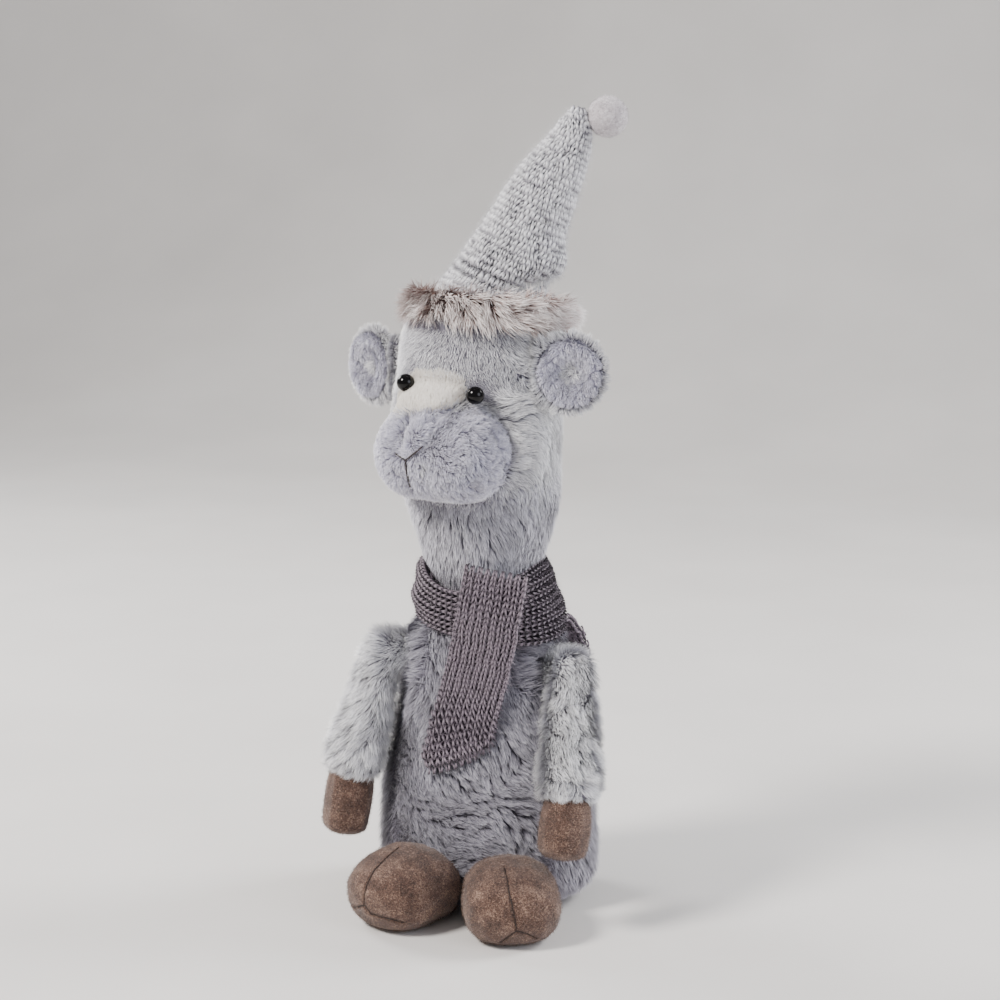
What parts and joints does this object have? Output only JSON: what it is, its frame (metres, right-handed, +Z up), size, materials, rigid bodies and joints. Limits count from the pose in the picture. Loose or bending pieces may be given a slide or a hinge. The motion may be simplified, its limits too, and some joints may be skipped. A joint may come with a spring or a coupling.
{
  "type": "plush llama",
  "caption": "Sitting plush llama with felt hands and feet, a knitted scarf and a leaning pointed hat with a fur brim; its limbs, ears, head, scarf ends and hat ball move.",
  "frame": {"origin": "middle of the underside of the base panel, on the surface the toy sits on", "axes": "+Z up, -Y forward out of the toy's belly, +X to the toy's own left"},
  "size_m": [0.1472, 0.1365, 0.404],
  "materials": {
    "grey_fur": "matt long pile",
    "side_fur": "matt smooth pile",
    "short_plush": "matt short pile",
    "cream_plush": "matt short pile",
    "brown_felt": "matt felt",
    "scarf_knit": "matt knit",
    "hat_knit": "matt knit",
    "brim_fur": "matt shaggy pile",
    "ball_felt": "matt felt",
    "black_bead": "gloss",
    "filling": "loose fibre",
    "washer_plastic": "moulded"
  },
  "bodies": {
    "torso": {"belly_cover": "grey_fur", "back_cover": "side_fur", "base_panel": "side_fur", "pellet_bag": "filling", "torso_stuffing": "filling", "scarf_wrap": "scarf_knit"},
    "head_and_hat": {"neck": "grey_fur", "head": "grey_fur", "muzzle": "short_plush", "blaze_panel": "cream_plush", "eye_right": "black_bead", "eye_washer_right": "washer_plastic", "eye_left": "black_bead", "eye_washer_left": "washer_plastic", "hat_cone": "hat_knit", "hat_stuffing": "filling", "hat_brim": "brim_fur"},
    "right_ear": {"ear_right": "grey_fur", "ear_lining_right": "short_plush"},
    "left_ear": {"ear_left": "grey_fur", "ear_lining_left": "short_plush"},
    "right_arm": {"arm_right": "grey_fur", "hand_right": "brown_felt"},
    "left_arm": {"arm_left": "grey_fur", "hand_left": "brown_felt"},
    "right_foot": {"foot_right": "brown_felt", "sole_right": "brown_felt"},
    "left_foot": {"foot_left": "brown_felt", "sole_left": "brown_felt"},
    "front_tail": {"scarf_front_tail": "scarf_knit"},
    "back_tail": {"scarf_back_tail": "scarf_knit"},
    "felt_ball": {"pom_pom": "ball_felt"}
  },
  "joints": [
    {"name": "neck_nod", "type": "hinge", "parent": "torso", "child": "head_and_hat", "pos_m": [-0.0025, 0, 0.164], "axis": [1, 0, 0], "range_deg": [-8, 8], "stiffness_Nm_per_rad": 2},
    {"name": "ear_right_fold", "type": "hinge", "parent": "head_and_hat", "child": "right_ear", "pos_m": [-0.04654, 0.00057, 0.269], "axis": [0, 0, 1], "range_deg": [-18, 18], "stiffness_Nm_per_rad": 0.01},
    {"name": "ear_left_fold", "type": "hinge", "parent": "head_and_hat", "child": "left_ear", "pos_m": [0.03216, -0.02274, 0.2735], "axis": [0, 0, 1], "range_deg": [-18, 18], "stiffness_Nm_per_rad": 0.01},
    {"name": "arm_right_swing", "type": "hinge", "parent": "torso", "child": "right_arm", "pos_m": [-0.04179, -0.01492, 0.128], "axis": [-0.8173, -0.5512, 0.1681], "range_deg": [-25, 75], "stiffness_Nm_per_rad": 0.1},
    {"name": "arm_left_swing", "type": "hinge", "parent": "torso", "child": "left_arm", "pos_m": [0.04066, -0.01416, 0.123], "axis": [-0.8133, 0.5482, -0.1951], "range_deg": [-25, 45], "stiffness_Nm_per_rad": 0.1},
    {"name": "foot_right_lift", "type": "hinge", "parent": "torso", "child": "right_foot", "pos_m": [-0.0206, -0.037, 0.016], "axis": [-0.8832, 0.4691, 0], "range_deg": [0, 12], "stiffness_Nm_per_rad": 0.5},
    {"name": "foot_left_lift", "type": "hinge", "parent": "torso", "child": "left_foot", "pos_m": [0.0206, -0.0405, 0.016], "axis": [-0.9397, -0.3419, 0], "range_deg": [0, 12], "stiffness_Nm_per_rad": 0.5},
    {"name": "front_tail_lift", "type": "hinge", "parent": "torso", "child": "front_tail", "pos_m": [0.0128, -0.0384, 0.172], "axis": [-1, 0, 0], "range_deg": [0, 95]},
    {"name": "back_tail_lift", "type": "hinge", "parent": "torso", "child": "back_tail", "pos_m": [0.02443, 0.02911, 0.14], "axis": [0.7659, -0.6429, 0], "range_deg": [0, 60]},
    {"name": "pom_pom_swing", "type": "hinge", "parent": "head_and_hat", "child": "felt_ball", "pos_m": [0.041, 0.017, 0.396], "axis": [0.2539, 0.094, 0.9627], "range_deg": [-20, 20], "stiffness_Nm_per_rad": 0.005}
  ]
}
